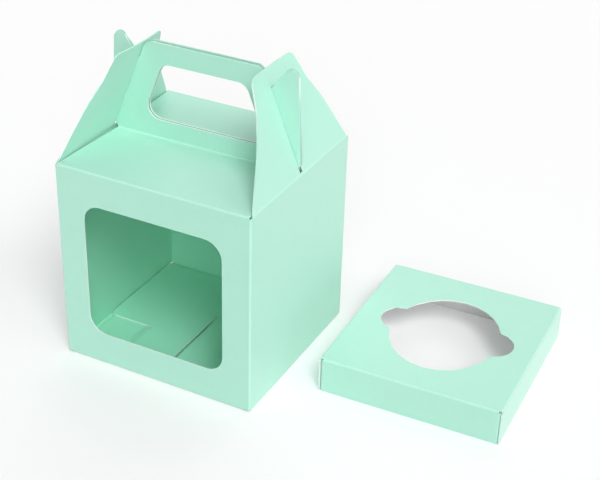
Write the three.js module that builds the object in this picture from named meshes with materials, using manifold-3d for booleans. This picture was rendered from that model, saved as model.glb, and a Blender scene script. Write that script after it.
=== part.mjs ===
// Cupcake box with a card insert, in millimetres, +Z up.
// The carton is one die-cut sheet of card, folded and glued along one seam: four walls with a
// window, a snap-lock bottom, two roof panels that stand up as a double handle, and two gable
// flaps that are hooked on the handle's barbed tabs. The insert is a second folded sheet, a low
// tray turned upside down with a hole that holds one cupcake, and it stands beside the carton.
// The origin is in the middle of the carton's underside, and the window wall faces -Y.

import * as THREE from "three";
import { mergeVertices } from "three/addons/utils/BufferGeometryUtils.js";
import Module from "manifold-3d";

const wasm = await Module();
wasm.setup();

// The card and its folds
const card = 0.5; // thickness
const foldRadius = 0.9; // outside radius of every crease
const cutRadius = 1; // rounding of small cut corners
const fitGap = 0.3; // clearance where card passes through or beside card
const layerGap = 0.15; // air between flaps that lie on each other
const weld = 0.4; // how far a crease's section runs on into the flat panel that it joins
const overrun = 1; // how far a section runs on beyond the outline that trims it

// The carton's walls
const boxWidth = 90; // across the window wall, over the card
const boxDepth = 84;
const wallHeight = 91; // underside to the top of the roof panels
const glueFlapWidth = 14;
const glueFlapBevel = 4; // how much its ends run back

// The window
const windowWidth = 64.4;
const windowHeight = 61.2;
const windowSill = 14.9; // underside to the window's lower edge
const windowRadius = 8;

// The roof and the double handle
const roofTaper = 1.8; // how much narrower a roof panel is at the handle, each side
const handleGap = 1; // air between the two handle panels
const handleHeight = 42; // roof to the top of the front handle panel
const rearHandleRise = 0.5; // the rear panel stands a little higher
const handleCornerRadius = 5;

// The hand hole
const handHoleSill = 8; // roof to the hole's lower edge
const handHoleHeight = 25.2;
const handHoleTopWidth = 38.8;
const handHoleBottomWidth = 58.8;
const handHoleRadius = 5.5;

// The gable flaps
const gableLean = THREE.MathUtils.degToRad(22); // inwards from upright
const gableLength = 45.5;
const gableShoulder = 33; // crease to the shoulders
const gableShoulderWidth = 41;
const gableShoulderRadius = 9;
const gableTopWidth = 32.6;
const gableCornerRadius = 4;
const gableBow = 1.2; // how far the free edges spring outwards at the top
const slotStart = 1;
const slotEnd = 37.8;

// The barbed tabs at the handle's ends, outside the gables
const tabFootInset = 0.7; // outer lower corner, in from the side wall's face
const tabFootRise = 3.6; // roof to that corner
const tabTipInset = 3; // outer edge at the tip, in from the side wall's face
const tabSlant = THREE.MathUtils.degToRad(53); // inner edge, from level
const tabRadius = 3.1;

// The snap-lock bottom
const frontFlapInset = 3.2; // its side edges, in from the wall faces
const floorFlapRadius = 3;
const floorFlapStart = 3.6; // wall face to where a flap's side edge changes direction
const frontFlapTaper = 4; // how much the front flap's side edges run in
const rearFlapLength = 53.2; // rear wall to the flap's free edge
const rearFlapRamp = 3; // over which it rises to lie on the side flaps
const frontFlapLength = 40; // front wall to its shoulders
const tongueWidth = 25;
const tongueLength = 10.5;
const recessClearance = 0.5; // around the tongue's tip
const hookWidth = 20; // a side flap's hook, along X
const hookReach = 11; // how far it reaches behind the middle
const hookGap = 1.2; // between the left and the right hook
const sideFlapRear = 36.5; // a side flap's rear end on its crease, behind the middle
const sideFlapUnderEdge = 26; // the edge of its part below the rear flap, from the middle
const sideFlapRamp = 1.6; // over which it rises to lie on the front flap

// The insert
const insertClearance = 2; // between the insert and the carton's wall, each side
const insertHeight = 16;
const insertCornerGap = 0.25; // slit between a long skirt's crease and a short skirt's cut edge
const insertTabLength = 11;
const insertTabBevel = 2;
const holeDiameter = 51.6;
const earRadius = 9; // the two finger notches beside the hole
const earCentre = 20.6;
const insertPlace = new THREE.Vector3(100.4, 29.5, 0);
const insertTurn = THREE.MathUtils.degToRad(1.9);

// How finely curves are divided
const facetAngle = THREE.MathUtils.degToRad(15); // of arcs and creases
const bendSteps = 8; // of a flap's rise
const gableRows = 10;
const gableColumns = 14;

// Shared places
const sideFace = boxWidth / 2;
const frontFace = boxDepth / 2;
const layer = card + layerGap;
const quarter = Math.PI / 2;

// Joining and cutting closed meshes

function solidOf(geometry) {
  const bare = geometry.clone();
  bare.deleteAttribute("normal");
  bare.deleteAttribute("uv");
  const merged = mergeVertices(bare, 1e-4);
  const vertProperties = new Float32Array(merged.attributes.position.array);
  const triVerts = new Uint32Array(merged.index.array);
  return new wasm.Manifold(new wasm.Mesh({ numProp: 3, vertProperties, triVerts }));
}

function geometryOf(solid) {
  const { vertProperties, triVerts } = solid.getMesh();
  const geometry = new THREE.BufferGeometry();
  geometry.setAttribute("position", new THREE.BufferAttribute(new Float32Array(vertProperties), 3));
  geometry.setIndex(new THREE.BufferAttribute(new Uint32Array(triVerts), 1));
  return geometry;
}

function placed(solid, matrix) {
  return solidOf(geometryOf(solid).applyMatrix4(matrix));
}

function joined(solids) {
  return solids.reduce((whole, solid) => whole.add(solid));
}

function turned(solid, angle) {
  return placed(solid, new THREE.Matrix4().makeRotationZ(angle));
}

function halfTurned(solid) {
  return turned(solid, Math.PI);
}

// Outlines

// Points of an arc, in steps of about the facet angle.
function arc(x, y, radius, from, to) {
  const steps = Math.max(2, Math.ceil(Math.abs(to - from) / facetAngle));
  return Array.from({ length: steps + 1 }, (_, i) => {
    const angle = from + ((to - from) * i) / steps;
    return new THREE.Vector2(x + radius * Math.cos(angle), y + radius * Math.sin(angle));
  });
}

// A closed outline from corners [x, y, radius], each rounded to its radius.
function outline(corners) {
  const points = corners.flatMap(([x, y, radius = 0], i) => {
    const corner = new THREE.Vector2(x, y);
    if (radius === 0) return [corner];
    const [px, py] = corners[(i + corners.length - 1) % corners.length];
    const [nx, ny] = corners[(i + 1) % corners.length];
    const back = new THREE.Vector2(px, py).sub(corner).normalize();
    const ahead = new THREE.Vector2(nx, ny).sub(corner).normalize();
    const half = Math.acos(back.dot(ahead)) / 2;
    const centre = back.clone().add(ahead).setLength(radius / Math.sin(half)).add(corner);
    const sweep = (Math.PI - 2 * half) * (back.cross(ahead) < 0 ? 1 : -1);
    const start = back.multiplyScalar(radius / Math.tan(half)).add(corner);
    const from = start.sub(centre).angle();
    return arc(centre.x, centre.y, radius, from, from + sweep);
  });
  return new THREE.Shape(points);
}

// The section of card that follows a line of centre points, in the plane of its thickness.
function section(path) {
  const sides = [card / 2, -card / 2].map((offset) => (
    path.map((point, i) => mitre(path, i).multiplyScalar(offset).add(point))
  ));
  return new THREE.Shape([...sides[0], ...sides[1].reverse()]);
}

// The sideways shift at one point of a path that keeps the card's thickness on both stretches.
function mitre(path, i) {
  const before = path[i].clone().sub(path[Math.max(i - 1, 0)]).normalize();
  const after = path[Math.min(i + 1, path.length - 1)].clone().sub(path[i]).normalize();
  const first = before.length() > 0 ? before : after;
  const second = after.length() > 0 ? after : before;
  const shift = new THREE.Vector2(-first.y - second.y, first.x + second.x);
  return shift.divideScalar(1 + first.dot(second));
}

// The middle of the card in a crease round a centre.
function crease(x, y, from, to) {
  return arc(x, y, foldRadius - card / 2, from, to);
}

// Sheets of card from an outline

function prism(shape, depth) {
  return new THREE.ExtrudeGeometry(shape, { depth, bevelEnabled: false, curveSegments: 1 });
}

// An outline in X and Y, upwards from z.
function level(shape, z, depth) {
  return solidOf(prism(shape, depth).translate(0, 0, z));
}

// An outline in X and Z, backwards from y.
function facing(shape, y, depth) {
  return solidOf(prism(shape, depth).rotateX(quarter).translate(0, y + depth, 0));
}

// An outline in Y and Z, to the right from x.
function sideways(shape, x, depth) {
  return solidOf(prism(shape, depth).rotateZ(quarter).rotateY(quarter).translate(x, 0, 0));
}

const { smoothstep } = THREE.MathUtils;

// The carton's walls

// One ring of card, seen from above: three rounded corners, and at the rear right the seam,
// where the right wall's cut edge covers the rear wall's crease and its glue flap.
function wallRing() {
  const cornerX = sideFace - foldRadius;
  const cornerY = frontFace - foldRadius;
  const seamX = sideFace - card;
  const innerRadius = foldRadius - card;
  const ring = new THREE.Shape([
    ...arc(-cornerX, cornerY, foldRadius, quarter, 2 * quarter),
    ...arc(-cornerX, -cornerY, foldRadius, 2 * quarter, 3 * quarter),
    ...arc(cornerX, -cornerY, foldRadius, 3 * quarter, 4 * quarter),
    new THREE.Vector2(sideFace, frontFace),
    new THREE.Vector2(seamX, frontFace),
    ...arc(seamX - foldRadius, cornerY, foldRadius, 0, quarter),
  ]);
  const inside = new THREE.Path([
    ...arc(-cornerX, cornerY, innerRadius, quarter, 2 * quarter),
    ...arc(-cornerX, -cornerY, innerRadius, 2 * quarter, 3 * quarter),
    ...arc(cornerX, -cornerY, innerRadius, 3 * quarter, 4 * quarter),
    new THREE.Vector2(seamX, cornerY - weld),
    new THREE.Vector2(seamX - card, cornerY - weld),
    ...arc(seamX - foldRadius, cornerY, innerRadius, 0, quarter),
  ]);
  ring.holes.push(inside);
  return level(ring, foldRadius, wallHeight - 2 * foldRadius);
}

function glueFlap() {
  const rear = frontFace - foldRadius;
  const front = rear - glueFlapWidth;
  const low = foldRadius;
  const high = wallHeight - foldRadius;
  const shape = outline([
    [rear, low],
    [rear, high],
    [front, high - glueFlapBevel, cutRadius],
    [front, low + glueFlapBevel, cutRadius],
  ]);
  return sideways(shape, sideFace - 2 * card, card + weld / 2);
}

function windowCut() {
  const halfWidth = windowWidth / 2;
  const top = windowSill + windowHeight;
  const shape = outline([
    [-halfWidth, windowSill, windowRadius],
    [halfWidth, windowSill, windowRadius],
    [halfWidth, top, windowRadius],
    [-halfWidth, top, windowRadius],
  ]);
  return facing(shape, -frontFace - card, 3 * card);
}

// The gable flaps, made on the front and turned to the right and to the left

// A point of the flap: along it from its crease, and outwards from its outer face, in Y and Z
// of a flap on the front. Negative places run back round the crease and down the wall.
function onGable(along, outwards) {
  const start = new THREE.Vector2(-sideFace + foldRadius, wallHeight - foldRadius);
  const outward = new THREE.Vector2(-Math.cos(gableLean), Math.sin(gableLean));
  const upward = new THREE.Vector2(Math.sin(gableLean), Math.cos(gableLean));
  const point = start.addScaledVector(outward, foldRadius + outwards);
  return point.addScaledVector(upward, along);
}

// The flap is a sheet in rows that follow the crease and then the lean. Its rows bow outwards
// on both sides of the slot, because the handle's tabs hold it only in the middle.
function gableFlap() {
  const baseHalf = frontFace - foldRadius - fitGap;
  const shoulderHalf = gableShoulderWidth / 2;
  const topHalf = gableTopWidth / 2;
  const wallFold = crease(
    -sideFace + foldRadius, wallHeight - foldRadius, 2 * quarter, 2 * quarter - gableLean,
  );
  const flat = Array.from({ length: gableRows }, (_, i) => (
    onGable(((i + 1) * (gableLength + overrun)) / gableRows, -card / 2)
  ));
  const foot = wallFold[0].clone();
  foot.y -= weld;
  const path = [foot, ...wallFold, ...flat];
  const sheet = new THREE.BoxGeometry(2 * baseHalf, 1, 1, gableColumns, path.length - 1, 1);
  const position = sheet.attributes.position;
  for (let i = 0; i < position.count; i += 1) {
    const x = position.getX(i);
    const row = Math.round((position.getY(i) + 0.5) * (path.length - 1));
    const along = Math.max(0, row - wallFold.length) / gableRows;
    const bow = gableBow * along * (x / shoulderHalf) ** 2;
    const offset = Math.sign(position.getZ(i)) * (card / 2);
    const point = mitre(path, row).multiplyScalar(offset).add(path[row]);
    position.setY(i, point.x - bow * Math.cos(gableLean));
    position.setX(i, x);
    position.setZ(i, point.y + bow * Math.sin(gableLean));
  }
  const below = -2 * (foldRadius + weld);
  const flap = outline([
    [-baseHalf - card, below],
    [baseHalf + card, below],
    [baseHalf + card, 0],
    [baseHalf, 0],
    [shoulderHalf, gableShoulder, gableShoulderRadius],
    [topHalf, gableLength, gableCornerRadius],
    [-topHalf, gableLength, gableCornerRadius],
    [-shoulderHalf, gableShoulder, gableShoulderRadius],
    [-baseHalf, 0],
    [-baseHalf - card, 0],
  ]);
  const slotHalf = handleGap / 2 + card + fitGap;
  const slot = outline([
    [-slotHalf, slotStart],
    [slotHalf, slotStart],
    [slotHalf, slotEnd],
    [-slotHalf, slotEnd],
  ]);
  const frame = new THREE.Matrix4().makeBasis(
    new THREE.Vector3(1, 0, 0),
    new THREE.Vector3(0, Math.sin(gableLean), Math.cos(gableLean)),
    new THREE.Vector3(0, -Math.cos(gableLean), Math.sin(gableLean)),
  );
  const origin = onGable(0, 0);
  frame.setPosition(0, origin.x, origin.y);
  const reach = topHalf; // enough for the bow of the sheet's corners
  const trim = placed(level(flap, -reach, 2 * reach), frame);
  const cut = placed(level(slot, -2 * card, 4 * card), frame);
  return solidOf(sheet).intersect(trim).subtract(cut);
}

// The roof panels and the handle

const roofHalfAtWall = -onGable(0, -card).x - 2 * fitGap;
const roofHalfAtHandle = roofHalfAtWall - roofTaper;
const handleInner = handleGap / 2; // inner face of a handle panel, in front of the middle
const handleFoot = wallHeight - card + foldRadius;

// The handle panel's outline in X and Z. On each side it runs out through the gable's slot,
// up the tab's outer edge, over its tip and down the inner edge to a notch that takes the
// flap's top, and then up the handle's own end.
function handleOutline(rise) {
  const top = wallHeight + handleHeight + rise;
  const notchAlong = slotEnd - fitGap;
  const outer = onGable(notchAlong, fitGap);
  const inner = onGable(notchAlong, -card - fitGap);
  const tipX = sideFace - tabTipInset;
  const tipZ = outer.y + (tipX + outer.x) * Math.tan(tabSlant);
  const endX = -inner.x - (top - inner.y) * Math.tan(gableLean);
  const half = [
    [roofHalfAtHandle, handleFoot],
    [sideFace - tabFootInset, wallHeight + tabFootRise, cutRadius],
    [tipX, tipZ + rise, tabRadius],
    [-outer.x, outer.y],
    [-inner.x, inner.y],
    [endX, top, handleCornerRadius],
  ];
  return outline([...half, ...half.map(([x, z, radius]) => [-x, z, radius]).reverse()]);
}

function handHole() {
  const low = wallHeight + handHoleSill;
  const high = low + handHoleHeight;
  return outline([
    [-handHoleBottomWidth / 2, low, handHoleRadius],
    [handHoleBottomWidth / 2, low, handHoleRadius],
    [handHoleTopWidth / 2, high, handHoleRadius],
    [-handHoleTopWidth / 2, high, handHoleRadius],
  ]);
}

// The front wall's roof panel, from its crease on the wall to its crease on the handle, and the
// handle panel.
function roofAndHandle(rise) {
  const wallEdge = -frontFace + foldRadius;
  const handleEdge = -handleInner - foldRadius;
  const wallFold = crease(wallEdge, wallHeight - foldRadius, 2 * quarter, quarter);
  const handleFold = crease(handleEdge, handleFoot, -quarter, 0);
  const foot = wallFold[0].clone();
  foot.y -= weld;
  const head = handleFold.at(-1).clone();
  head.y += weld;
  const bent = section([foot, ...wallFold, ...handleFold, head]);
  const roofOutline = outline([
    [-roofHalfAtWall, -frontFace - card],
    [roofHalfAtWall, -frontFace - card],
    [roofHalfAtWall, wallEdge],
    [roofHalfAtHandle, handleEdge],
    [roofHalfAtHandle, 0],
    [-roofHalfAtHandle, 0],
    [-roofHalfAtHandle, handleEdge],
    [-roofHalfAtWall, wallEdge],
  ]);
  const roof = sideways(bent, -sideFace, boxWidth).intersect(level(roofOutline, 0, 2 * wallHeight));
  const handle = facing(handleOutline(rise), -handleInner - card, card);
  return roof.add(handle).subtract(facing(handHole(), -handleInner - 2 * card, 3 * card));
}

// The snap-lock bottom, from below: the front flap, the side flaps, the rear flap, and the side
// flaps' hooks, which lie on the rear flap and lock it. Every flap is made on the front and
// turned to its wall.

const frontFlapHalf = sideFace - frontFlapInset;
const rearFlapLeft = sideFace - foldRadius; // from the middle to the left end of its crease
const rearFlapRight = rearFlapLeft - card; // its right end, beside the glue flap
const sideFlapLevel = layer;
const rearFlapLevel = 2 * layer;
const hookLevel = 3 * layer;

// A flap that is creased to a wall at -face, and whose height changes only away from the wall.
// Its height is given at stations, which are distances from the carton's middle.
function floorFlap(face, stations, height, shape) {
  const fold = crease(-face + foldRadius, foldRadius, 2 * quarter, 3 * quarter);
  const foot = fold[0].clone();
  foot.y += weld;
  const floor = stations.map((y) => new THREE.Vector2(y, card / 2 + height(y)));
  const bent = section([foot, ...fold, ...floor]);
  const trim = level(shape, -overrun, wallHeight);
  return sideways(bent, -sideFace, boxWidth).intersect(trim);
}

// Stations from one distance to another, for a smooth bend.
function bend(from, to) {
  return Array.from({ length: bendSteps + 1 }, (_, i) => from + ((to - from) * i) / bendSteps);
}

function frontFlap() {
  const shoulder = -frontFace + frontFlapLength;
  const half = tongueWidth / 2;
  const tip = shoulder + tongueLength;
  const shape = outline([
    [-frontFlapHalf, -frontFace - card],
    [frontFlapHalf, -frontFace - card],
    [frontFlapHalf, -frontFace + floorFlapStart],
    [frontFlapHalf - frontFlapTaper, shoulder, floorFlapRadius],
    [half, shoulder],
    [half, tip, floorFlapRadius],
    [-half, tip, floorFlapRadius],
    [-half, shoulder],
    [-frontFlapHalf + frontFlapTaper, shoulder, floorFlapRadius],
    [-frontFlapHalf, -frontFace + floorFlapStart],
  ]);
  // The tongue's tip turns up into the rear flap's recess.
  const start = shoulder + tongueLength / 2;
  const end = tip - overrun;
  const height = (y) => rearFlapLevel * smoothstep(y, start, end);
  return floorFlap(frontFace, [...bend(start, end), tip + overrun], height, shape);
}

function rearFlap() {
  const end = -frontFace + rearFlapLength;
  const recessHalf = tongueWidth / 2 + recessClearance;
  const recessEnd = frontFace - frontFlapLength - tongueLength - recessClearance;
  const shape = outline([
    [-rearFlapRight, -frontFace - card],
    [rearFlapLeft, -frontFace - card],
    [rearFlapLeft, end, floorFlapRadius],
    [recessHalf, end],
    [recessHalf, recessEnd],
    [-recessHalf, recessEnd],
    [-recessHalf, end],
    [-rearFlapRight, end, floorFlapRadius],
  ]);
  const start = -frontFace + foldRadius + card;
  const rampEnd = start + rearFlapRamp;
  const height = (y) => rearFlapLevel * smoothstep(y, start, rampEnd);
  const stations = [...bend(start, rampEnd), end + overrun];
  return halfTurned(floorFlap(frontFace, stations, height, shape));
}

// A side flap: one part runs below the rear flap, and the hook beside it rises over it.
// side is -1 for the left flap and 1 for the right, and turns its rear end to the rear.
function sideFlap(side) {
  const front = -frontFace + foldRadius + fitGap;
  const rearFlapEnd = frontFace - rearFlapLength;
  const hookInner = -hookGap / 2;
  const hookOuter = hookInner - hookWidth;
  const shape = outline([
    [side * front, -sideFace - card],
    [side * sideFlapRear, -sideFace - card],
    [side * sideFlapRear, -sideFace + floorFlapStart],
    [side * (sideFlapRear / 2), -sideFlapUnderEdge],
    [side * (rearFlapEnd - fitGap), -sideFlapUnderEdge],
    [side * (rearFlapEnd - fitGap), hookOuter],
    [side * hookReach, hookOuter, cutRadius],
    [side * hookReach, hookInner, floorFlapRadius],
    [side * front, hookInner],
  ]);
  const start = -sideFace + foldRadius + card;
  const rampEnd = start + sideFlapRamp;
  const height = (y) => {
    const lift = sideFlapLevel * smoothstep(y, start, rampEnd);
    return lift + (hookLevel - sideFlapLevel) * smoothstep(y, -sideFlapUnderEdge, hookOuter);
  };
  const stations = [...bend(start, rampEnd), ...bend(-sideFlapUnderEdge, hookOuter), card];
  return turned(floorFlap(sideFace, stations, height, shape), side * quarter);
}

function carton() {
  const gable = gableFlap();
  return joined([
    wallRing().subtract(windowCut()),
    glueFlap(),
    turned(gable, quarter),
    turned(gable, -quarter),
    roofAndHandle(0),
    halfTurned(roofAndHandle(rearHandleRise)),
    frontFlap(),
    rearFlap(),
    sideFlap(-1),
    sideFlap(1),
  ]);
}

// The insert

const insertLong = boxWidth - 2 * card - 2 * insertClearance; // along Y as it stands
const insertShort = boxDepth - 2 * card - 2 * insertClearance; // along X

// The top panel's hole for the cake, with a finger notch on each side.
function insertHole() {
  const radius = holeDiameter / 2;
  // Where the hole's circle and a notch's circle cross, seen from each centre
  const reach = (earCentre ** 2 + radius ** 2 - earRadius ** 2) / (2 * earCentre);
  const holeAngle = Math.acos(reach / radius);
  const earAngle = Math.acos((reach - earCentre) / earRadius);
  const points = [0, Math.PI].flatMap((turn) => [
    ...arc(earCentre * Math.cos(turn), 0, earRadius, turn - earAngle, turn + earAngle).slice(0, -1),
    ...arc(0, 0, radius, turn + holeAngle, turn + Math.PI - holeAngle).slice(0, -1),
  ]);
  return new THREE.Path(points);
}

function insertTop() {
  const halfX = insertShort / 2 - foldRadius;
  const halfY = insertLong / 2 - foldRadius;
  const panel = outline([
    [-halfX, -halfY],
    [halfX, -halfY],
    [halfX, halfY],
    [-halfX, halfY],
  ]);
  panel.holes.push(insertHole());
  return level(panel, insertHeight - card, card);
}

// A skirt folded down from the top panel's edge at -face, made on the front.
function skirt(face, half) {
  const topFold = crease(-face + foldRadius, insertHeight - foldRadius, quarter, 2 * quarter);
  const back = topFold[0].clone();
  back.x += weld;
  const foot = topFold.at(-1).clone();
  foot.y = 0;
  return sideways(section([back, ...topFold, foot]), -half, 2 * half);
}

// A long skirt, with a tab at each end that is creased round the corner and tucked in behind
// the short skirt.
function longSkirt() {
  const face = insertLong / 2;
  const cornerX = insertShort / 2 - card - insertCornerGap - foldRadius;
  const cornerY = -face + foldRadius;
  const tabEnd = cornerY + insertTabLength;
  const tabTop = insertHeight - foldRadius - fitGap;
  const rightFold = crease(cornerX, cornerY, 3 * quarter, 4 * quarter);
  const leftFold = crease(-cornerX, cornerY, 2 * quarter, 3 * quarter);
  const path = [
    new THREE.Vector2(leftFold[0].x, tabEnd),
    ...leftFold,
    ...rightFold,
    new THREE.Vector2(rightFold.at(-1).x, tabEnd),
  ];
  const bevels = outline([
    [-face - card, fitGap],
    [cornerY, fitGap],
    [tabEnd, fitGap + insertTabBevel, cutRadius],
    [tabEnd, tabTop - insertTabBevel, cutRadius],
    [cornerY, tabTop],
    [-face - card, tabTop],
  ]);
  const tabs = level(section(path), 0, insertHeight).intersect(
    sideways(bevels, -insertShort, 2 * insertShort),
  );
  return skirt(face, cornerX).add(tabs);
}

// A short skirt, whose cut ends close the corners.
function shortSkirt() {
  const half = insertLong / 2;
  const shape = outline([
    [-half, 0],
    [half, 0],
    [half, insertHeight - foldRadius - fitGap],
    [half - foldRadius, insertHeight - foldRadius - fitGap],
    [half - foldRadius, insertHeight],
    [-half + foldRadius, insertHeight],
    [-half + foldRadius, insertHeight - foldRadius - fitGap],
    [-half, insertHeight - foldRadius - fitGap],
  ]);
  return skirt(insertShort / 2, half).intersect(facing(shape, -insertLong, 2 * insertLong));
}

function insert() {
  const front = longSkirt();
  const short = shortSkirt();
  return joined([
    insertTop(),
    front,
    halfTurned(front),
    turned(short, quarter),
    turned(short, -quarter),
  ]);
}

// The model

const mintCard = { color: 0xa6e5cd, roughness: 0.5, metalness: 0 };

const cartonCard = new THREE.MeshStandardMaterial(mintCard);
const cartonMesh = new THREE.Mesh(geometryOf(carton()), cartonCard);
cartonMesh.name = "carton";

const insertCard = new THREE.MeshStandardMaterial(mintCard);
const insertMesh = new THREE.Mesh(geometryOf(insert()), insertCard);
insertMesh.name = "insert";
insertMesh.position.copy(insertPlace);
insertMesh.rotation.z = insertTurn;

const cupcakeBox = new THREE.Group();
cupcakeBox.add(cartonMesh, insertMesh);

export default cupcakeBox;
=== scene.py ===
# %% [markdown]
# # A mint green cupcake box and its insert
#
# The object is two sheets of folding card: a gable box with a window and a carrying handle, and
# a low tray with a round hole that holds the cupcake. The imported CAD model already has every
# fold, flap, slot and cut edge as real geometry, so no shape is built again here. This script
# nudges a few points of the two sheets to where they are on the real object, gives the card its
# surface, and then sets up a small studio and the camera.
#
# Loading comes first.

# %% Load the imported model
import math

import bmesh
import bpy
from mathutils import Matrix, Vector


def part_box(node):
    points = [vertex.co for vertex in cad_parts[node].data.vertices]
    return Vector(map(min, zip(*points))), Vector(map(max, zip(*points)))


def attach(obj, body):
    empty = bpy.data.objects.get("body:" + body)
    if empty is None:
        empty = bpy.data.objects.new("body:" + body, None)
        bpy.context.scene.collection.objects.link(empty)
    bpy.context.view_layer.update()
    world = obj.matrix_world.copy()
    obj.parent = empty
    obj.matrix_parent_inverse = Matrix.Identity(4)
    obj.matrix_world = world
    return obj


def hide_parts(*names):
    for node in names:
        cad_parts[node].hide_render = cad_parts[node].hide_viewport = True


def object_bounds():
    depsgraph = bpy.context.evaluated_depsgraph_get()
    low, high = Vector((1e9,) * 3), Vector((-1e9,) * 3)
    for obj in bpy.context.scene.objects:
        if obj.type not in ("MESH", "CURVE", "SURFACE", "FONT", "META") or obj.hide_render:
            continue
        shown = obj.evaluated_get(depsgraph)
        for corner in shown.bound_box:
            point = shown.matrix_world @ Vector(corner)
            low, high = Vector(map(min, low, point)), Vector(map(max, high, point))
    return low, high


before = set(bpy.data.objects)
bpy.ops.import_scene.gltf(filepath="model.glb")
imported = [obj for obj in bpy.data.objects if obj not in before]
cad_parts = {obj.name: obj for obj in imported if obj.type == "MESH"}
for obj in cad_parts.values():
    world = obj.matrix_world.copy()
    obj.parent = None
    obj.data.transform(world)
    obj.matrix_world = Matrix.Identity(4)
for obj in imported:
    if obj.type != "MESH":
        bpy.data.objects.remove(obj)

MM = 0.001
cad_low, cad_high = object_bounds()
print("sheets of card:", sorted(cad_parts))
print("overall size in mm:", [round(side / MM, 1) for side in cad_high - cad_low])

# %% [markdown]
# ## The measures of the two sheets
#
# Several steps have to know where a wall, a crease or a flap is: the flaps are moved about their
# crease, and card looks different where it is cut or creased. Widths and heights come from the
# loaded model, so they follow it when it changes. The few measures that a bounding box can't
# tell, such as how far the gable flaps lean, are written down.

# %% Measures of the carton
carton_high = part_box("carton")[1]
side_face = carton_high.x
front_face = carton_high.y
handle_top = carton_high.z
wall_height = 91 * MM
card = 0.5 * MM
fold_radius = 0.9 * MM
handle_half_thickness = 1.25 * MM
gable_lean = math.radians(22)
gable_length = 46 * MM
print("carton face to face in mm:", round(2 * side_face / MM, 1), round(2 * front_face / MM, 1))

# %% Measures of the insert
insert_low, insert_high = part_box("insert")
insert_centre = (insert_low + insert_high) / 2
insert_height = insert_high.z
insert_turn = math.radians(1.9)
insert_half_x = 39.5 * MM
insert_half_y = 42.5 * MM
print("insert height in mm:", round(insert_height / MM, 1))

# %% [markdown]
# ## A copy whose points may move
#
# Real card never stands quite where the die meant it to. Modelling such a sheet again would
# repeat the whole CAD model, and a lattice or a bend modifier would also warp the flat panels.
# So the points of a copy are moved one by one by a short formula, which leaves all others where
# they are. The copy then stands in for the CAD sheet. Its creases are shaded smooth, and its
# panels stay flat because the normals are weighted by area.

# %% Copying a sheet and moving its points
same_point = 0.002 * MM
sharpest_smooth = math.radians(30)


def show(thing):
    bpy.context.scene.collection.objects.link(thing)
    return thing


def moved_copy(node_name, shown_name, move):
    """Shows a copy of a CAD sheet, with each point put where move(point) says."""
    shape = bmesh.new()
    shape.from_mesh(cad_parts[node_name].data)
    bmesh.ops.remove_doubles(shape, verts=shape.verts, dist=same_point)
    for vertex in shape.verts:
        vertex.co = move(vertex.co.copy())
    mesh = bpy.data.meshes.new(shown_name)
    shape.to_mesh(mesh)
    shape.free()
    mesh.shade_smooth()
    mesh.set_sharp_from_angle(angle=sharpest_smooth)
    sheet = show(bpy.data.objects.new(shown_name, mesh))
    weights = sheet.modifiers.new("flat panels stay flat", "WEIGHTED_NORMAL")
    weights.keep_sharp = True
    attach(sheet, "root")
    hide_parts(node_name)
    print(shown_name, "has", len(mesh.polygons), "faces")
    return sheet


# %% [markdown]
# ## Flaps that stand off centre
#
# The CAD model cuts each gable flap symmetrically about its slot. On the real box the top of a
# flap stands a few millimetres to one side of the slot, to the rear on the right and to the front
# on the left. The shift grows from nothing at the crease to its full value near the top, and
# leaves out the card beside the slot, which still has to fit the handle. The handle's tabs are
# also pinched together a little at their tips.

# %% The carton, with its flaps off centre
out_of_gable = Vector((math.cos(gable_lean), 0, math.sin(gable_lean)))
up_the_gable = Vector((-math.sin(gable_lean), 0, math.cos(gable_lean)))
crease_centre = Vector((side_face - fold_radius, 0, wall_height - fold_radius))
gable_foot = crease_centre + out_of_gable * fold_radius
lowest_moved = MM
flap_shift = 3.3 * MM
flap_shift_full = 28 * MM
flap_inside = -0.7 * MM
flap_outside = 2.5 * MM
slot_margin = 9 * MM
tab_pinch = 0.4 * MM
tab_reach = 10 * MM


def eased(value, start, end):
    """0 before the start, 1 after the end, and a smooth change between them."""
    share = min(1.0, max(0.0, (value - start) / (end - start)))
    return share * share * (3 - 2 * share)


def off_centre(point):
    """Shifts a point of a gable flap sideways, or pinches a point of a handle tab inwards."""
    side = math.copysign(1, point.x)
    from_foot = Vector((abs(point.x), 0, point.z)) - gable_foot
    out, along = from_foot.dot(out_of_gable), from_foot.dot(up_the_gable)
    if along <= lowest_moved:
        return point
    beside = abs(point.y)
    if beside > handle_half_thickness and flap_inside < out < flap_outside:
        beyond_slot = eased(beside, handle_half_thickness, slot_margin)
        point.y += side * flap_shift * eased(along, 0, flap_shift_full) * beyond_slot
    elif beside <= handle_half_thickness and out > 0:
        point.y -= math.copysign(tab_pinch * eased(out, 0, tab_reach), point.y)
    return point


carton_sheet = moved_copy("carton", "carton_sheet", off_centre)

# %% [markdown]
# ## The insert's hole
#
# The hole isn't a true circle. It is a little longer from front to rear than from side to side,
# and the two finger notches meet it in sharp necks. The rim's points are carried from the plain
# round hole to that outline: points of a notch go round the new notch, and the others go round
# an ellipse. The neck is where the two curves cross, and it is found by halving an interval.

# %% The real outline of the hole
hole_centre = Vector((0.5, -1.4, 0)) * MM
hole_half_x = 23.4 * MM
hole_half_y = 27.2 * MM
notch_radius = 9.05 * MM
notch_centre_x = 20.65 * MM
notch_centre_y = 2.2 * MM
halvings = 40


def notch_point(angle, up):
    """A point of the right notch, from the hole's centre. up is 1 for its rear half, -1 for its
    front half."""
    x = notch_centre_x + notch_radius * math.cos(angle)
    y = notch_centre_y + up * notch_radius * math.sin(angle)
    return x, y


def neck_angle(up):
    """The angle round the notch at which it meets the hole."""
    outer, inner = 0.0, math.pi
    for _ in range(halvings):
        middle = (outer + inner) / 2
        x, y = notch_point(middle, up)
        if (x / hole_half_x) ** 2 + (y / hole_half_y) ** 2 > 1:
            outer = middle
        else:
            inner = middle
    return outer


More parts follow.
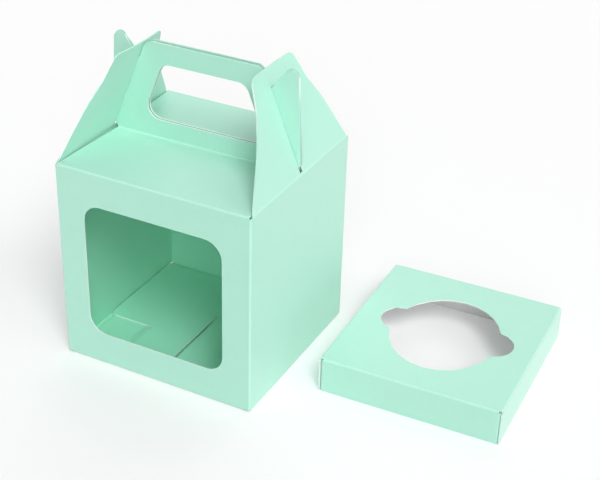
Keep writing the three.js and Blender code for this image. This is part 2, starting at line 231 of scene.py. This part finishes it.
necks = {1: neck_angle(1), -1: neck_angle(-1)}
print("necks at degrees:", [round(math.degrees(neck), 1) for neck in necks.values()])

# %% The plain outline in the CAD model
plain_hole_radius = 25.8 * MM
plain_notch_radius = 9 * MM
plain_notch_centre = 20.6 * MM
squares = plain_notch_centre ** 2 + plain_hole_radius ** 2 - plain_notch_radius ** 2
plain_neck_x = squares / (2 * plain_notch_centre)
plain_neck_on_notch = math.acos((plain_neck_x - plain_notch_centre) / plain_notch_radius)
plain_neck_on_hole = math.acos(plain_neck_x / plain_hole_radius)
print("plain neck at degrees:", round(math.degrees(plain_neck_on_notch), 1))

# %% The insert, with its real hole
insert_place = Matrix.Translation((insert_centre.x, insert_centre.y, 0))
into_insert = insert_place @ Matrix.Rotation(insert_turn, 4, "Z")
rim_reach = 32 * MM
rim_depth = 1.2 * card
past_the_hole = plain_hole_radius + 0.05 * MM
surely_notch = plain_notch_radius / 2


def on_notch(across, away, up):
    """Where a point of the plain right notch goes on the real one."""
    share = math.atan2(away, across - plain_notch_centre) / plain_neck_on_notch
    return notch_point(share * necks[up], up)


def on_hole(across, away, up):
    """Where a point of the plain round hole goes on the real ellipse."""
    neck_x, neck_y = notch_point(necks[up], up)
    neck_on_hole = math.atan2(up * neck_y / hole_half_y, neck_x / hole_half_x)
    quarter = math.pi / 2
    share = (math.atan2(away, across) - plain_neck_on_hole) / (quarter - plain_neck_on_hole)
    angle = neck_on_hole + share * (quarter - neck_on_hole)
    return hole_half_x * math.cos(angle), up * hole_half_y * math.sin(angle)


def on_real_rim(point):
    """Carries a point of the plain rim to the real outline, and leaves all others."""
    own = into_insert.inverted() @ point
    if own.z < insert_height - rim_depth or own.xy.length > rim_reach:
        return point
    side, up = math.copysign(1, own.x), int(math.copysign(1, own.y))
    across, away = abs(own.x), abs(own.y)
    is_notch = math.hypot(across, away) > past_the_hole or away < surely_notch
    x, y = (on_notch if is_notch else on_hole)(across, away, up)
    return into_insert @ Vector((hole_centre.x + side * x, hole_centre.y + y, own.z))


insert_sheet = moved_copy("insert", "insert_sheet", on_real_rim)

# %% [markdown]
# ## A few helpers for shader nodes
#
# Card is not one even colour, so its finish is worked out by shader nodes. A node tree is easier
# to read as sums than as boxes and wires. Each helper adds one node, feeds its inputs with a
# plain value or with another node's output, and returns its own output, so that the lines below
# read like arithmetic.

# %% Helpers that add one node each
def feed(tree, socket, value):
    """Sets an input to a plain value, or links another node's output to it."""
    if isinstance(value, bpy.types.NodeSocket):
        tree.links.new(value, socket)
    else:
        socket.default_value = value


def maths(tree, operation, *values, clamp=False):
    node = tree.nodes.new("ShaderNodeMath")
    node.operation = operation
    node.use_clamp = clamp
    for socket, value in zip(node.inputs, values):
        feed(tree, socket, value)
    return node.outputs["Value"]


def highest(tree, values):
    top = values[0]
    for value in values[1:]:
        top = maths(tree, "MAXIMUM", top, value)
    return top


def vector_maths(tree, operation, *values):
    node = tree.nodes.new("ShaderNodeVectorMath")
    node.operation = operation
    for socket, value in zip(node.inputs, values):
        feed(tree, socket, value)
    return node.outputs["Value" if operation == "DOT_PRODUCT" else "Vector"]


def ramp(tree, value, start, end, low=0.0, high=1.0):
    """low before the start, high after the end, and a smooth change between them."""
    node = tree.nodes.new("ShaderNodeMapRange")
    node.interpolation_type = "SMOOTHSTEP"
    labels = ("Value", "From Min", "From Max", "To Min", "To Max")
    for label, wanted in zip(labels, (value, start, end, low, high)):
        feed(tree, node.inputs[label], wanted)
    return node.outputs["Result"]


def split(tree, vector):
    node = tree.nodes.new("ShaderNodeSeparateXYZ")
    feed(tree, node.inputs["Vector"], vector)
    return node.outputs["X"], node.outputs["Y"], node.outputs["Z"]


def noise(tree, position, size, detail, roughness=0.5):
    """Noise from 0 to 1 whose lumps measure about the given size in metres."""
    node = tree.nodes.new("ShaderNodeTexNoise")
    feed(tree, node.inputs["Vector"], position)
    feed(tree, node.inputs["Scale"], maths(tree, "DIVIDE", 1.0, size))
    node.inputs["Detail"].default_value = detail
    node.inputs["Roughness"].default_value = roughness
    return node.outputs["Fac"]


def mixed(tree, share, first, second):
    """A mix of two colours: the first at share 0 and the second at share 1."""
    node = tree.nodes.new("ShaderNodeMix")
    node.data_type = "RGBA"
    colours = [socket for socket in node.inputs if socket.type == "RGBA"]
    feed(tree, node.inputs["Factor"], share)
    feed(tree, colours[0], first)
    feed(tree, colours[1], second)
    return next(socket for socket in node.outputs if socket.type == "RGBA")


print("helpers that add one node are ready")

# %% [markdown]
# ## Helpers for node groups
#
# Both sheets are made of card, so they share the look of its body, its cut edges and its creases.
# Each of these effects is a node group, built once with named inputs and outputs, and each
# material places it with its own values. That is shorter than the same nodes drawn twice, and a
# change to a group reaches both sheets.

# %% Helpers that build and place a group
VALUE = "NodeSocketFloat"
VECTOR = "NodeSocketVector"


def new_group(name, inputs, outputs):
    """A shader node group with named sockets, and its input and output nodes."""
    group = bpy.data.node_groups.new(name, "ShaderNodeTree")
    for label, (kind, value) in inputs.items():
        socket = group.interface.new_socket(label, in_out="INPUT", socket_type=kind)
        socket.default_value = value
    for label, kind in outputs.items():
        group.interface.new_socket(label, in_out="OUTPUT", socket_type=kind)
    return group, group.nodes.new("NodeGroupInput"), group.nodes.new("NodeGroupOutput")


def use_group(tree, group, **values):
    """Places a group and feeds its inputs. An underscore in a name stands for a space."""
    node = tree.nodes.new("ShaderNodeGroup")
    node.node_tree = group
    for label, value in values.items():
        feed(tree, node.inputs[label.replace("_", " ")], value)
    return node


print("helpers for groups are ready")

# %% [markdown]
# ## The body of the card
#
# Folding card is pressed from pulp, and its colour is a thin printed or coated layer on top. From
# close by it shows three things: short fibres that mostly run the way the board ran through the
# machine, soft clouds where the pulp settled thicker or thinner, and a surface that is almost but
# not quite flat, so that its gloss wanders. One group gives all three, and both sheets use it.
# The fibres come from a noise that is stretched along the grain.

# %% The group for the card's fibres and clouds
fibre_group, ins, outs = new_group(
    "card fibres and clouds",
    {
        "Position": (VECTOR, (0, 0, 0)),
        "Fibre width": (VALUE, 0.22 * MM),
        "Fibre stretch": (VALUE, 6.0),
        "Cloud size": (VALUE, 9 * MM),
        "Swell size": (VALUE, 45 * MM),
    },
    {"Tone": VALUE, "Fibres": VALUE, "Swell": VALUE},
)
fibre_share = 0.7
cloud_share = 0.3

grain = fibre_group.nodes.new("ShaderNodeCombineXYZ")
shortened = maths(fibre_group, "DIVIDE", 1.0, ins.outputs["Fibre stretch"])
for axis, scale in (("X", shortened), ("Y", 1.0), ("Z", 1.0)):
    feed(fibre_group, grain.inputs[axis], scale)
place = ins.outputs["Position"]
along_grain = vector_maths(fibre_group, "MULTIPLY", place, grain.outputs["Vector"])

fibres = noise(fibre_group, along_grain, ins.outputs["Fibre width"], detail=3.0, roughness=0.65)
clouds = noise(fibre_group, place, ins.outputs["Cloud size"], detail=4.0, roughness=0.6)
swell = noise(fibre_group, place, ins.outputs["Swell size"], detail=1.0)
tone = maths(
    fibre_group, "ADD",
    maths(fibre_group, "MULTIPLY", fibres, fibre_share),
    maths(fibre_group, "MULTIPLY", clouds, cloud_share),
)
for label, result in (("Tone", tone), ("Fibres", fibres), ("Swell", swell)):
    feed(fibre_group, outs.inputs[label], result)
print("group:", fibre_group.name, "with", len(fibre_group.nodes), "nodes")

# %% [markdown]
# ## Cut edges
#
# Where the die has cut the card, the colour stops and the pale core shows as a thin bright line:
# round the window, the hand hole, the tabs and the insert's hole. It could be painted on an
# image, but an image needs unwrapping and blurs in a close view. On a cut edge the surface faces
# along the sheet instead of away from it. So the group compares the normal with the direction
# that the panel faces, and keeps the answer only inside a box that holds that panel.

# %% The group that finds cut edges
edge_group, ins, outs = new_group(
    "cut edge of a panel",
    {
        "Position": (VECTOR, (0, 0, 0)),
        "Normal": (VECTOR, (0, 0, 1)),
        "Panel faces": (VECTOR, (0, 0, 1)),
        "Low corner": (VECTOR, (0, 0, 0)),
        "High corner": (VECTOR, (0, 0, 0)),
    },
    {"Edge": VALUE},
)
place = ins.outputs["Position"]
facing = maths(
    edge_group, "ABSOLUTE",
    vector_maths(edge_group, "DOT_PRODUCT", ins.outputs["Normal"], ins.outputs["Panel faces"]),
)
above_low = vector_maths(edge_group, "SUBTRACT", place, ins.outputs["Low corner"])
below_high = vector_maths(edge_group, "SUBTRACT", ins.outputs["High corner"], place)
x, y, z = split(edge_group, vector_maths(edge_group, "MINIMUM", above_low, below_high))
depth_in_box = maths(edge_group, "MINIMUM", x, maths(edge_group, "MINIMUM", y, z))
edge = maths(
    edge_group, "MULTIPLY",
    maths(edge_group, "GREATER_THAN", depth_in_box, 0.0),
    ramp(edge_group, facing, start=0.25, end=0.45, low=1.0, high=0.0),
)
feed(edge_group, outs.inputs["Edge"], edge)
print("group:", edge_group.name, "with", len(edge_group.nodes), "nodes")

# %% [markdown]
# ## Creases
#
# A crease stretches the coating, so it goes a little paler there and shows a broken line where
# the card has started to crack. That paler line is also a painted highlight along the fold, on
# top of the light that the round of the fold catches as geometry. This group adds the colour: it
# measures how far a point is from the line of the crease, in the two directions across it, and
# breaks the edge of the line up with a fine noise.

# %% The group that finds creases
crease_group, ins, outs = new_group(
    "crease in the card",
    {
        "Across": (VALUE, 0.0),
        "Up": (VALUE, 0.0),
        "Line across": (VALUE, 0.0),
        "Line up": (VALUE, 0.0),
        "Width": (VALUE, 0.75 * MM),
        "Break up": (VALUE, 0.5),
    },
    {"Crease": VALUE},
)
narrowest = 0.75
raggedness = 0.5
solid_share = 0.4

away_across = maths(crease_group, "SUBTRACT", ins.outputs["Across"], ins.outputs["Line across"])
away_up = maths(crease_group, "SUBTRACT", ins.outputs["Up"], ins.outputs["Line up"])
squares = maths(
    crease_group, "ADD",
    maths(crease_group, "MULTIPLY", away_across, away_across),
    maths(crease_group, "MULTIPLY", away_up, away_up),
)
distance = maths(crease_group, "SQRT", squares)
uneven = maths(crease_group, "MULTIPLY", ins.outputs["Break up"], raggedness)
width_here = maths(
    crease_group, "MULTIPLY",
    ins.outputs["Width"], maths(crease_group, "ADD", narrowest, uneven),
)
solid_width = maths(crease_group, "MULTIPLY", width_here, solid_share)
crease = ramp(crease_group, distance, solid_width, width_here, low=1.0, high=0.0)
feed(crease_group, outs.inputs["Crease"], crease)
print("group:", crease_group.name, "with", len(crease_group.nodes), "nodes")

# %% [markdown]
# ## The colours of the card
#
# The colours are written as they are seen on a screen, from 0 to 255, and turned into the linear
# values that the renderer works in. Each face has two close tones, because a single one looks
# like plastic. The inside of the carton is painted a fuller green than the outside: painted shade
# that stands in for the light it gets by way of other green panels. The pale crease colour is
# partly stretched coating and partly a painted highlight along the folds.

# %% Colours
def linear(red, green, blue):
    """A colour as seen on a screen, from 0 to 255, in linear light."""
    def one(value):
        value /= 255
        return value / 12.92 if value <= 0.04045 else ((value + 0.055) / 1.055) ** 2.4
    return (one(red), one(green), one(blue), 1.0)


mint = linear(174, 227, 208)
mint_light = linear(176, 229, 210)
mint_deep = linear(172, 225, 206)
mint_crease_wear_and_highlight = linear(205, 243, 230)
mint_inside_bounce_shade = linear(164, 238, 209)
core = linear(245, 250, 247)
reverse_light = linear(243, 245, 244)
reverse_deep = linear(234, 237, 235)
print("mint in linear light:", [round(value, 3) for value in mint[:3]])

# %% [markdown]
# ## Putting the card together
#
# Both materials have the same build: the printed colour, varied by fibres and clouds, with a
# fuller green inside the carton that is painted bounce shade, then paler creases, which are
# partly stretched coating and partly a painted highlight, then the bare core on the cut edges.
# Only the places of the edges and creases differ, so one function builds the material from masks.
# The
# Principled shader stays here in the material and not in a group. The card is half matte, and a
# soft sheen lies on it where light grazes it.

# %% Building one card material
crease_wear_and_highlight = 0.20
bare_roughness = 0.35
sheen = 0.45
sheen_roughness = 0.4
fibre_relief = 0.010
bare_relief = 0.03
swell_relief = 0.10


def card_colour(tree, tone, edges, creases, reverse, inner):
    shade = ramp(tree, tone, start=0.34, end=0.66)
    # Where the inner mask is 1, the colour goes to a fuller green: painted shade for light
    # bounced between the carton's green panels.
    printed_and_bounce_shade = mixed(tree, inner, mixed(tree, shade, mint_deep, mint_light), mint_inside_bounce_shade)
    # Paler crease lines: partly stretched coating, partly a painted highlight along the fold.
    paled_by_wear_and_highlight = maths(tree, "MULTIPLY", creases, crease_wear_and_highlight)
    creased = mixed(tree, paled_by_wear_and_highlight, printed_and_bounce_shade, mint_crease_wear_and_highlight)
    unprinted = mixed(tree, shade, reverse_deep, reverse_light)
    return mixed(tree, edges, mixed(tree, reverse, creased, unprinted), core)


def card_relief(tree, card_body, bare):
    """A normal that follows the fibres, which stand up more on bare card, and the swell."""
    roughened = maths(tree, "ADD", fibre_relief, maths(tree, "MULTIPLY", bare, bare_relief))
    height = maths(
        tree, "ADD",
        maths(tree, "MULTIPLY", card_body.outputs["Fibres"], roughened),
        maths(tree, "MULTIPLY", card_body.outputs["Swell"], swell_relief),
    )
    bump = tree.nodes.new("ShaderNodeBump")
    bump.inputs["Distance"].default_value = MM
    bump.inputs["Strength"].default_value = 1.0
    feed(tree, bump.inputs["Height"], height)
    return bump.outputs["Normal"]


def card_material(name, masks):
    """masks(tree, position, normal, fibres) returns the masks of the cut edges, the creases, the
    unprinted reverse and the inside, where a fuller green is painted as bounce shade, each from 0
    to 1."""
    material = bpy.data.materials.new(name)
    material.use_nodes = True
    material.diffuse_color = mint
    tree = material.node_tree
    shader = tree.nodes["Principled BSDF"]

    position = tree.nodes.new("ShaderNodeTexCoord").outputs["Object"]
    normal = tree.nodes.new("ShaderNodeNewGeometry").outputs["Normal"]
    card_body = use_group(tree, fibre_group, Position=position)
    tone = card_body.outputs["Tone"]
    edges, creases, reverse, inner = masks(tree, position, normal, card_body.outputs["Fibres"])
    bare = maths(tree, "MAXIMUM", edges, reverse)
    satin = ramp(tree, tone, start=0.3, end=0.7, low=0.40, high=0.50)
    rough = maths(tree, "ADD", satin, maths(tree, "MULTIPLY", bare, bare_roughness), clamp=True)

    colour = card_colour(tree, tone, edges, creases, reverse, inner)
    feed(tree, shader.inputs["Base Color"], colour)
    feed(tree, shader.inputs["Roughness"], rough)
    feed(tree, shader.inputs["Normal"], card_relief(tree, card_body, bare))
    shader.inputs["Sheen Weight"].default_value = sheen
    shader.inputs["Sheen Roughness"].default_value = sheen_roughness
    print("material:", name, "with", len(tree.nodes), "nodes")
    return material


# %% [markdown]
# ## The carton's card
#
# The carton is the same left and right, and nearly the same front and rear. Its masks are worked
# out on the absolute value of X and Y, so one box or line serves two or four places. The gables
# lean inwards, so their edges are looked for in coordinates that are turned with them: there X
# runs out of the flap and Z runs up it. Each box is drawn roomily round the cut that it is for.

# %% Where the carton is cut
margin = MM
cut_depth = 1.2 * card
window_box_half = 33 * MM
window_box_low = 14 * MM
window_box_high = 77 * MM
roof_side = side_face - fold_radius
roof_strip = 0.9 * roof_side
beside_handle = 2 * MM
floor_stack = 6 * card
flap_box_inside = -1.3 * card
flap_box_outside = 9 * card
flap_box_start = 0.8 * MM
handle_start = wall_height + 1.5 * MM
touching_flap = 0.6 * card
clear_of_flap = 0.8 * card
facing_x, facing_y, facing_z = (1, 0, 0), (0, 1, 0), (0, 0, 1)

window_box = (
    (0, front_face - cut_depth, window_box_low),
    (window_box_half, front_face + card, window_box_high),
)
roof_box = (
    (roof_strip, beside_handle, wall_height - cut_depth),
    (roof_side, front_face - margin, wall_height + card),
)
floor_box = (
    (0, 0, -card),
    (side_face - margin, front_face - margin, floor_stack),
)
flap_box = (
    (flap_box_inside, handle_half_thickness, flap_box_start),
    (flap_box_outside, front_face, gable_length + margin),
)
handle_box = (
    (0, 0, handle_start),
    (side_face, handle_half_thickness, handle_top + margin),
)
print("the flap box reaches", round(flap_box[1][2] / MM, 1), "mm up the gable")


# %% The carton's masks
def turned_by_gable(tree, vector, origin):
    """A position or a direction, seen from the crease of the leaning gable flap."""
    node = tree.nodes.new("ShaderNodeMapping")
    node.vector_type = "TEXTURE"
    feed(tree, node.inputs["Vector"], vector)
    node.inputs["Location"].default_value = origin
    node.inputs["Rotation"].default_value = (0, -gable_lean, 0)
    return node.outputs["Vector"]


def cut_edge(tree, place, facing, panel_faces, box):
    node = use_group(
        tree, edge_group, Position=place, Normal=facing, Panel_faces=panel_faces,
        Low_corner=box[0], High_corner=box[1],
    )
    return node.outputs["Edge"]


def all_creases(tree, fibres, lines):
    """Each line is two coordinates across a crease, and their values on it."""
    found = []
    for across, up, line_across, line_up in lines:
        node = use_group(
            tree, crease_group, Across=across, Up=up, Line_across=line_across,
            Line_up=line_up, Break_up=fibres,
        )
        found.append(node.outputs["Crease"])
    return highest(tree, found)


def carton_edges(tree, mirrored, faces):
    place_on_flap = turned_by_gable(tree, mirrored, gable_foot)
    facing_on_flap = turned_by_gable(tree, faces, (0, 0, 0))
    on_panels = highest(tree, [
        cut_edge(tree, mirrored, faces, facing_y, window_box),
        cut_edge(tree, mirrored, faces, facing_z, roof_box),
        cut_edge(tree, mirrored, faces, facing_z, floor_box),
        cut_edge(tree, place_on_flap, facing_on_flap, facing_x, flap_box),
    ])
    on_handle = cut_edge(tree, mirrored, faces, facing_y, handle_box)
    from_flap_middle = maths(tree, "ADD", split(tree, place_on_flap)[0], card / 2)
    off_flap = maths(tree, "ABSOLUTE", from_flap_middle)
    beside_flap = ramp(tree, off_flap, touching_flap, clear_of_flap)
    on_free_handle = maths(tree, "MULTIPLY", on_handle, beside_flap)
    return maths(tree, "MAXIMUM", on_panels, on_free_handle)


def carton_masks(tree, position, normal, fibres):
    mirrored = vector_maths(tree, "ABSOLUTE", position)
    x, y, z = split(tree, mirrored)
    edges = carton_edges(tree, mirrored, vector_maths(tree, "ABSOLUTE", normal))
    creases = all_creases(tree, fibres, [
        (x, y, side_face, front_face),
        (y, z, front_face, wall_height),
        (x, z, side_face, wall_height),
        (y, z, handle_half_thickness, wall_height),
    ])
    # The inner mask marks the carton's inside, which gets the fuller green of painted bounce
    # shade.
    outer = highest(tree, [
        maths(tree, "GREATER_THAN", x, side_face - card / 2),
        maths(tree, "GREATER_THAN", y, front_face - card / 2),
        maths(tree, "GREATER_THAN", z, wall_height - card / 2),
    ])
    return edges, creases, 0.0, maths(tree, "SUBTRACT", 1.0, outer)


carton_card = card_material("mint card, coloured on both sides", carton_masks)

# %% [markdown]
# ## The insert's card
#
# The insert is cut from card that is coloured on the outside only: through its hole the white
# reverse of the far skirt shows. A face is the reverse where it looks towards the middle of the
# tray. The insert stands a little turned, so its position and normal are first turned back into
# its own frame, with the middle of the tray at the origin.

# %% The insert's masks
hole_box = (
    (-margin, -margin, insert_height - cut_depth),
    (rim_reach, rim_reach, insert_height + card),
)
corner_box = (
    (insert_half_x - cut_depth, insert_half_y - margin, 0),
    (insert_half_x + card, insert_half_y + card, insert_height - margin),
)
corner_strength = 0.35


def turned_by_insert(tree, vector, origin):
    """A position or a direction, in the insert's own frame."""
    node = tree.nodes.new("ShaderNodeMapping")
    node.vector_type = "TEXTURE"
    feed(tree, node.inputs["Vector"], vector)
    node.inputs["Location"].default_value = origin
    node.inputs["Rotation"].default_value = (0, 0, insert_turn)
    return node.outputs["Vector"]


def insert_masks(tree, position, normal, fibres):
    place = turned_by_insert(tree, position, (insert_centre.x, insert_centre.y, 0))
    facing = turned_by_insert(tree, normal, (0, 0, 0))
    mirrored = vector_maths(tree, "ABSOLUTE", place)
    x, y, z = split(tree, mirrored)

    from_middle = vector_maths(tree, "SUBTRACT", place, (0, 0, insert_height / 2))
    outwards = vector_maths(tree, "DOT_PRODUCT", from_middle, facing)
    reverse = maths(tree, "LESS_THAN", outwards, 0.0)

    hole = cut_edge(tree, mirrored, facing, facing_z, hole_box)
    corner = cut_edge(tree, mirrored, facing, facing_x, corner_box)
    faint_corner = maths(tree, "MULTIPLY", corner, corner_strength)
    edges = maths(tree, "MAXIMUM", hole, faint_corner)
    creases = all_creases(tree, fibres, [
        (x, z, insert_half_x, insert_height),
        (y, z, insert_half_y, insert_height),
        (x, y, insert_half_x, insert_half_y),
    ])
    return edges, creases, reverse, 0.0


insert_card = card_material("mint card with a white reverse", insert_masks)

# %% [markdown]
# ## Dressing the sheets
#
# The copies still carry no finish of their own. A sheet of card is one material all over, since
# the masks already tell its faces, edges and creases apart, so each sheet gets a single slot.

# %% Give each sheet its card
for sheet, material in ((carton_sheet, carton_card), (insert_sheet, insert_card)):
    sheet.data.materials.clear()
    sheet.data.materials.append(material)
    print(sheet.name, "wears", material.name)

# %% [markdown]
# ## The studio floor
#
# The product stands on a white sweep that melts into a white background, and only its soft shadow
# shows. More lamp light would bleach the card as well, so the floor is a plain white surface that
# the camera alone sees a little brighter: a Light Path node adds some glow for camera rays. The
# shadow is in the part that the lamps light, so it stays. The world works the same way: it lights
# the card gently, and is pure white to the camera.

# %% The floor
floor_half = 4.0
floor_gap = 0.05 * MM
floor_glow = 0.17
paper_white = (0.79, 0.79, 0.79, 1)
glow_white = (1, 1, 1, 1)


def camera_or_mirror(tree):
    """1 for rays that come from the camera or from a glossy surface, and 0 for the others."""
    path = tree.nodes.new("ShaderNodeLightPath")
    return maths(tree, "MAXIMUM", path.outputs["Is Camera Ray"], path.outputs["Is Glossy Ray"])


floor_corners = [
    (floor_half * x, floor_half * y, 0)
    for x, y in ((-1, -1), (1, -1), (1, 1), (-1, 1))
]
floor_mesh = bpy.data.meshes.new("studio floor")
floor_mesh.from_pydata(floor_corners, [], [(0, 1, 2, 3)])
floor = show(bpy.data.objects.new("studio floor", floor_mesh))
floor.location.z = cad_low.z - floor_gap

floor_paper = bpy.data.materials.new("white paper sweep")
floor_paper.use_nodes = True
tree = floor_paper.node_tree
shader = tree.nodes["Principled BSDF"]
shader.inputs["Base Color"].default_value = paper_white
shader.inputs["Roughness"].default_value = 0.9
shader.inputs["Specular IOR Level"].default_value = 0.1
shader.inputs["Emission Color"].default_value = glow_white
glow = maths(tree, "MULTIPLY", camera_or_mirror(tree), floor_glow)
feed(tree, shader.inputs["Emission Strength"], glow)
floor_mesh.materials.append(floor_paper)
print("floor at", round(floor.location.z / MM, 2), "mm")

# %% The world
room_light = 0.25
background_light = 1.0

world = bpy.data.worlds.new("white studio")
bpy.context.scene.world = world
world.use_nodes = True
tree = world.node_tree
sky = tree.nodes["Background"]
sky.inputs["Color"].default_value = glow_white
seen_or_felt = ramp(tree, camera_or_mirror(tree), 0.0, 1.0, low=room_light, high=background_light)
feed(tree, sky.inputs["Strength"], seen_or_felt)
print("the room gives", room_light, "of full white")

# %% [markdown]
# ## The lamps
#
# Four soft lamps light the card. The key comes from the upper right in front: it lights the roof
# and reaches through the window on to the bottom flaps and the left wall. A lower lamp in front
# lights the rear wall inside. The side lamp on the right makes the right wall the brightest one
# and leaves a soft shadow beside the left wall. A rear lamp brings out the rear roof panel, which
# shows through the hand hole. Wide sun lamps are used, because they are as soft as a large
# softbox but light the whole floor evenly, so the white background has no falloff. Such a lamp's
# strength doesn't depend on distance: it is the share of white that it should give on a face
# that looks at it, times pi.

# %% Lamps
def soft_lamp(name, towards, width, share):
    """width is in degrees. share is the brightness of a white surface that faces the lamp."""
    light = bpy.data.lights.new(name, "SUN")
    light.angle = math.radians(width)
    light.energy = share * math.pi
    lamp = show(bpy.data.objects.new(name, light))
    lamp.location = Vector(towards).normalized()
    lamp.rotation_euler = Vector(towards).to_track_quat("Z", "Y").to_euler()
    print(name, "has strength", round(light.energy, 2))


soft_lamp("key lamp", towards=(0.50, -0.50, 0.85), width=25, share=0.51)
soft_lamp("front lamp", towards=(0.45, -0.85, 0.45), width=40, share=0.30)
soft_lamp("side lamp", towards=(1.00, 0.05, 0.65), width=45, share=0.20)
soft_lamp("rear lamp", towards=(-0.15, 0.75, 0.80), width=60, share=0.20)

# %% [markdown]
# ## The camera
#
# The camera stands to the right of the window wall and looks down on the box. Its turn is written
# as angles round the object, and the three columns of its matrix are the picture's right, the
# picture's up, and the direction back from the scene. A long lens keeps the walls nearly
# parallel, as in a product photograph.

# %% The camera
camera_yaw = math.radians(26.477)
camera_pitch = math.radians(30.3995)
camera_roll = math.radians(1.7236)
camera_place = Vector((0.251903, -0.416119, 0.332978))
camera_lens = 79.03
camera_sensor = 36.0

back = Vector((
    math.sin(camera_yaw) * math.cos(camera_pitch),
    -math.cos(camera_yaw) * math.cos(camera_pitch),
    math.sin(camera_pitch),
))
level_right = Vector((math.cos(camera_yaw), math.sin(camera_yaw), 0))
level_up = back.cross(level_right)
picture_right = math.cos(camera_roll) * level_right + math.sin(camera_roll) * level_up
picture_up = math.cos(camera_roll) * level_up - math.sin(camera_roll) * level_right

camera_data = bpy.data.cameras.new("camera")
camera_data.lens = camera_lens
camera_data.sensor_width = camera_sensor
camera = show(bpy.data.objects.new("camera", camera_data))
turn = Matrix((picture_right, picture_up, back)).transposed().to_4x4()
camera.matrix_world = Matrix.Translation(camera_place) @ turn
bpy.context.scene.camera = camera
bpy.context.scene.view_settings.view_transform = "Standard"
print("camera distance in mm:", round(camera_place.length / MM))
